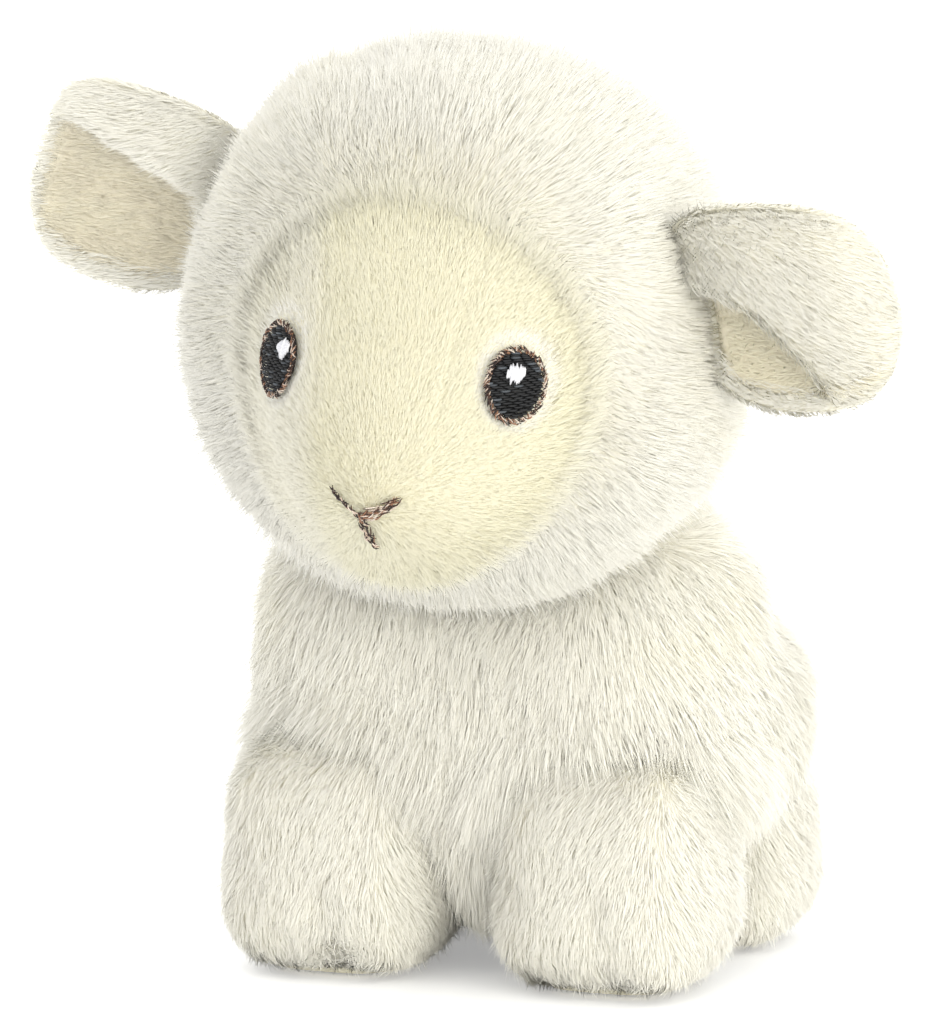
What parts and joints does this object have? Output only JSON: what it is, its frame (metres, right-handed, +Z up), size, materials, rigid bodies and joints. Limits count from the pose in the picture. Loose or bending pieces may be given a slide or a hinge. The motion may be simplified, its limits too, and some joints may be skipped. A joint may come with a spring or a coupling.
{
  "type": "plush lamb",
  "caption": "Small standing soft toy lamb with wool pile, a round head that turns and nods, folding ears, swinging stub legs and a short tail.",
  "frame": {"origin": "on the floor, under the middle of the whole toy", "axes": "+Z up, the lamb faces -Y, its own left side is +X"},
  "size_m": [0.1214, 0.0994, 0.1297],
  "materials": {
    "wool": "matte",
    "face_pile": "matte",
    "ear_lining": "matte",
    "fibre_filling": "matte",
    "pouch_cloth": "matte",
    "pellets": "satin",
    "black_thread": "satin",
    "brown_thread": "satin",
    "white_thread": "satin"
  },
  "bodies": {
    "body": {"body_cover": "wool", "body_stuffing": "fibre_filling", "pellet_pouch": "pouch_cloth", "pellet_fill": "pellets", "closing_seam": "white_thread"},
    "neck": {"neck_stuffing": "fibre_filling", "neck_seam": "white_thread"},
    "head": {"head_cover": "wool", "face_panel": "face_pile", "head_stuffing": "fibre_filling", "mouth_stitching": "brown_thread", "eye_left_ring": "brown_thread", "eye_left_pupil": "black_thread", "eye_left_highlight": "white_thread", "eye_right_ring": "brown_thread", "eye_right_pupil": "black_thread", "eye_right_highlight": "white_thread"},
    "tail": {"tail": "wool"},
    "ear_left": {"ear_left_back": "wool", "ear_left_lining": "ear_lining"},
    "ear_right": {"ear_right_back": "wool", "ear_right_lining": "ear_lining"},
    "leg_front_left": {"leg_front_left_cover": "wool", "leg_front_left_stuffing": "fibre_filling", "leg_front_left_sole": "face_pile"},
    "leg_front_right": {"leg_front_right_cover": "wool", "leg_front_right_stuffing": "fibre_filling", "leg_front_right_sole": "face_pile"},
    "leg_hind_left": {"leg_hind_left_cover": "wool", "leg_hind_left_stuffing": "fibre_filling", "leg_hind_left_sole": "face_pile"},
    "leg_hind_right": {"leg_hind_right_cover": "wool", "leg_hind_right_stuffing": "fibre_filling", "leg_hind_right_sole": "face_pile"}
  },
  "joints": [
    {"name": "head_turn", "type": "hinge", "parent": "body", "child": "neck", "pos_m": [-0.00135, -0.01441, 0.0916], "axis": [0, -0.4695, 0.8829], "range_deg": [-20, 20], "stiffness_Nm_per_rad": 0.03},
    {"name": "head_nod", "type": "hinge", "parent": "neck", "child": "head", "pos_m": [-0.00135, -0.01441, 0.0916], "axis": [1, 0, 0], "range_deg": [-8, 8], "stiffness_Nm_per_rad": 0.05},
    {"name": "ear_left_fold", "type": "hinge", "parent": "head", "child": "ear_left", "pos_m": [0.03663, -0.01262, 0.09762], "axis": [0.1317, 0.3707, -0.9194], "range_deg": [-15, 25], "stiffness_Nm_per_rad": 0.01},
    {"name": "ear_right_fold", "type": "hinge", "parent": "head", "child": "ear_right", "pos_m": [-0.03635, -0.01606, 0.10757], "axis": [0.4096, -0.3127, 0.857], "range_deg": [-15, 25], "stiffness_Nm_per_rad": 0.01},
    {"name": "leg_front_left_swing", "type": "hinge", "parent": "body", "child": "leg_front_left", "pos_m": [0.01865, -0.00341, 0.022], "axis": [1, 0, 0], "range_deg": [-8, 8], "stiffness_Nm_per_rad": 0.1},
    {"name": "leg_front_right_swing", "type": "hinge", "parent": "body", "child": "leg_front_right", "pos_m": [-0.02135, -0.00341, 0.022], "axis": [1, 0, 0], "range_deg": [-8, 8], "stiffness_Nm_per_rad": 0.1},
    {"name": "leg_hind_left_swing", "type": "hinge", "parent": "body", "child": "leg_hind_left", "pos_m": [0.01865, 0.02909, 0.02], "axis": [1, 0, 0], "range_deg": [-8, 8], "stiffness_Nm_per_rad": 0.1},
    {"name": "leg_hind_right_swing", "type": "hinge", "parent": "body", "child": "leg_hind_right", "pos_m": [-0.02135, 0.02909, 0.02], "axis": [1, 0, 0], "range_deg": [-8, 8], "stiffness_Nm_per_rad": 0.1},
    {"name": "tail_wag", "type": "hinge", "parent": "body", "child": "tail", "pos_m": [-0.00135, 0.04112, 0.04414], "axis": [0, 0, 1], "range_deg": [-18, 18], "stiffness_Nm_per_rad": 0.004}
  ]
}
